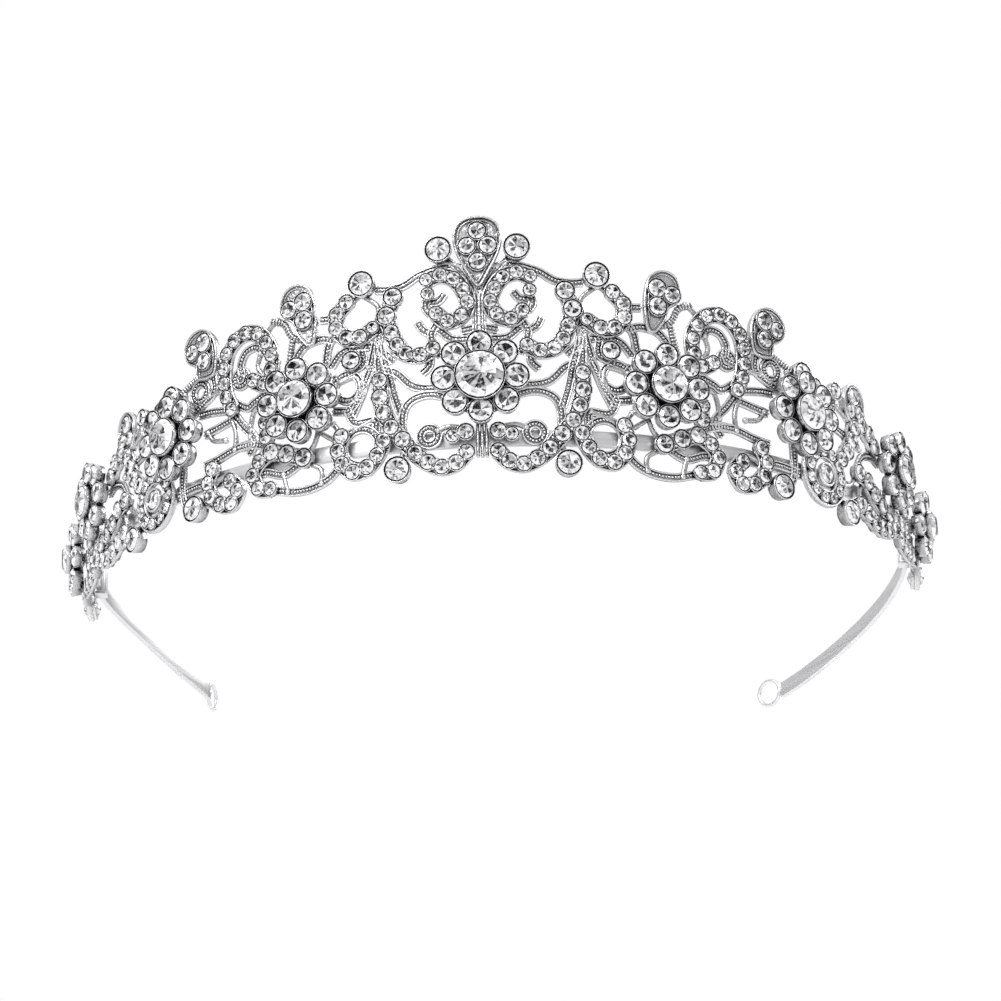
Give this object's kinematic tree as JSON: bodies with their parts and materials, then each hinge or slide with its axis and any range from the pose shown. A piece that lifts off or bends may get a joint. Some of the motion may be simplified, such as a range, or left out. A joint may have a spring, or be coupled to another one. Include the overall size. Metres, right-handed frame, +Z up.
{
  "type": "bridal tiara",
  "caption": "Bridal tiara: an open cast filigree front of scrolls and stone-set rosettes on a flat sprung headband that ends in two small wire loops.",
  "frame": {"origin": "on the plane that the tiara stands on, under the middle of its bounding box", "axes": "+X to the viewer's right when facing the front, -Y out of the brow, +Y towards the open back, +Z up"},
  "size_m": [0.1498, 0.1387, 0.0468],
  "materials": {
    "rhodium_plate": "bright rhodium-coloured plate on a zinc casting, darkened in its recesses",
    "bright_strip": "smooth bright plated spring strip and wire",
    "foiled_crystal": "clear cut glass with a mirror foil behind"
  },
  "bodies": {
    "root": {"band_clamp_left": "bright_strip", "band_clamp_right": "bright_strip", "crest_stone_bottom": "foiled_crystal", "crest_stone_left": "foiled_crystal", "crest_stone_right": "foiled_crystal", "crest_stone_top": "foiled_crystal", "crown_tip_stone_left": "foiled_crystal", "crown_tip_stone_right": "foiled_crystal", "end_loop_left": "bright_strip", "end_loop_right": "bright_strip", "filigree_centre": "rhodium_plate", "filigree_end_left": "rhodium_plate", "filigree_end_right": "rhodium_plate", "filigree_inner_left": "rhodium_plate", "filigree_inner_right": "rhodium_plate", "filigree_outer_left": "rhodium_plate", "filigree_outer_right": "rhodium_plate", "headband": "bright_strip", "heart_stone_centre": "foiled_crystal", "heart_stone_end_left": "foiled_crystal", "heart_stone_end_right": "foiled_crystal", "heart_stone_inner_left": "foiled_crystal", "heart_stone_inner_right": "foiled_crystal", "heart_stone_outer_left": "foiled_crystal", "heart_stone_outer_right": "foiled_crystal", "heart_stone_side_left": "foiled_crystal", "heart_stone_side_right": "foiled_crystal", "hem_end_stone_left": "foiled_crystal", "hem_end_stone_right": "foiled_crystal", "hem_inner_stone_left": "foiled_crystal", "hem_inner_stone_right": "foiled_crystal", "hem_outer_stone_left": "foiled_crystal", "hem_outer_stone_right": "foiled_crystal", "petal_stone_1": "foiled_crystal", "petal_stone_2": "foiled_crystal", "petal_stone_3": "foiled_crystal", "petal_stone_4": "foiled_crystal", "petal_stone_5": "foiled_crystal", "petal_stone_6": "foiled_crystal", "petal_stone_7": "foiled_crystal", "petal_stone_8": "foiled_crystal", "rosette_centre": "rhodium_plate", "rosette_end_left": "rhodium_plate", "rosette_end_right": "rhodium_plate", "rosette_inner_left": "rhodium_plate", "rosette_inner_right": "rhodium_plate", "rosette_outer_left": "rhodium_plate", "rosette_outer_right": "rhodium_plate", "rosette_side_left": "rhodium_plate", "rosette_side_right": "rhodium_plate", "scroll_tip_stone_left": "foiled_crystal", "scroll_tip_stone_right": "foiled_crystal"}
  },
  "joints": []
}
